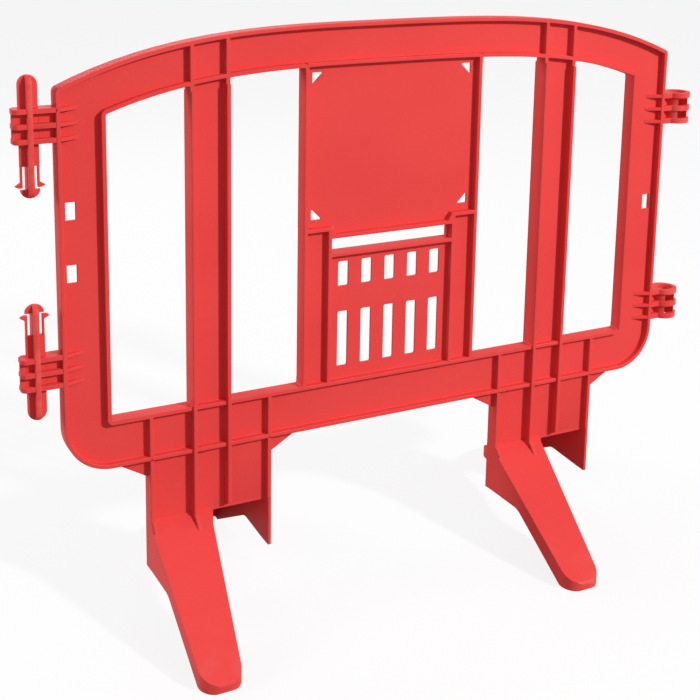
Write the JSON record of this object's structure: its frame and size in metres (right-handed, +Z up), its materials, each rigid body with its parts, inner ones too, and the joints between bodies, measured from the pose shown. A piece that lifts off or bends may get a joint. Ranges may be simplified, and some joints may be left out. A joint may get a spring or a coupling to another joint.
{
  "type": "pedestrian barrier panel",
  "caption": "Moulded red plastic crowd barrier panel with an arched top rail, sign plate, grip bar, splayed hollow legs, snap link pins on one end and flanged sockets on the other.",
  "frame": {"origin": "on the ground below the middle of the panel", "axes": "+X along the panel from the pin end to the socket end, +Y through it to the back, +Z up"},
  "size_m": [1.332, 0.564, 1],
  "materials": {
    "panel_plastic": "satin moulded red with a fine grain",
    "link_plastic": "satin moulded red with a fine grain"
  },
  "bodies": {
    "panel": {"top_rail": "panel_plastic", "bottom_rail": "panel_plastic", "left_post_web": "panel_plastic", "right_post_web": "panel_plastic", "left_outer_rib": "panel_plastic", "right_outer_rib": "panel_plastic", "left_inner_rib": "panel_plastic", "right_inner_rib": "panel_plastic", "left_link_gussets": "panel_plastic", "right_link_gussets": "panel_plastic", "left_mid_post": "panel_plastic", "right_mid_post": "panel_plastic", "sign_plate": "panel_plastic", "left_sign_stile": "panel_plastic", "right_sign_stile": "panel_plastic", "left_column": "panel_plastic", "right_column": "panel_plastic", "hand_slot_rib": "panel_plastic", "grip_bar": "panel_plastic", "grille_panel": "panel_plastic", "left_foot_block": "panel_plastic", "right_foot_block": "panel_plastic", "left_front_leg": "panel_plastic", "left_rear_leg": "panel_plastic", "right_front_leg": "panel_plastic", "right_rear_leg": "panel_plastic", "upper_link_bracket": "link_plastic", "lower_link_bracket": "link_plastic", "upper_link_pin": "link_plastic", "lower_link_pin": "link_plastic", "upper_socket": "link_plastic", "lower_socket": "link_plastic"},
    "upper_outer_prong": {"upper_outer_prong": "link_plastic"},
    "upper_inner_prong": {"upper_inner_prong": "link_plastic"},
    "lower_outer_prong": {"lower_outer_prong": "link_plastic"},
    "lower_inner_prong": {"lower_inner_prong": "link_plastic"}
  },
  "joints": [
    {"name": "upper_outer_prong_bend", "type": "hinge", "parent": "panel", "child": "upper_outer_prong", "pos_m": [-0.6535, 0, 0.7985], "axis": [0, -1, 0], "range_deg": [0, 12], "stiffness_Nm_per_rad": 0.8},
    {"name": "upper_inner_prong_bend", "type": "hinge", "parent": "panel", "child": "upper_inner_prong", "pos_m": [-0.6265, 0, 0.7985], "axis": [0, 1, 0], "range_deg": [0, 12], "stiffness_Nm_per_rad": 0.8},
    {"name": "lower_outer_prong_bend", "type": "hinge", "parent": "panel", "child": "lower_outer_prong", "pos_m": [-0.6535, 0, 0.5245], "axis": [0, 1, 0], "range_deg": [0, 12], "stiffness_Nm_per_rad": 0.8},
    {"name": "lower_inner_prong_bend", "type": "hinge", "parent": "panel", "child": "lower_inner_prong", "pos_m": [-0.6265, 0, 0.5245], "axis": [0, -1, 0], "range_deg": [0, 12], "stiffness_Nm_per_rad": 0.8}
  ]
}
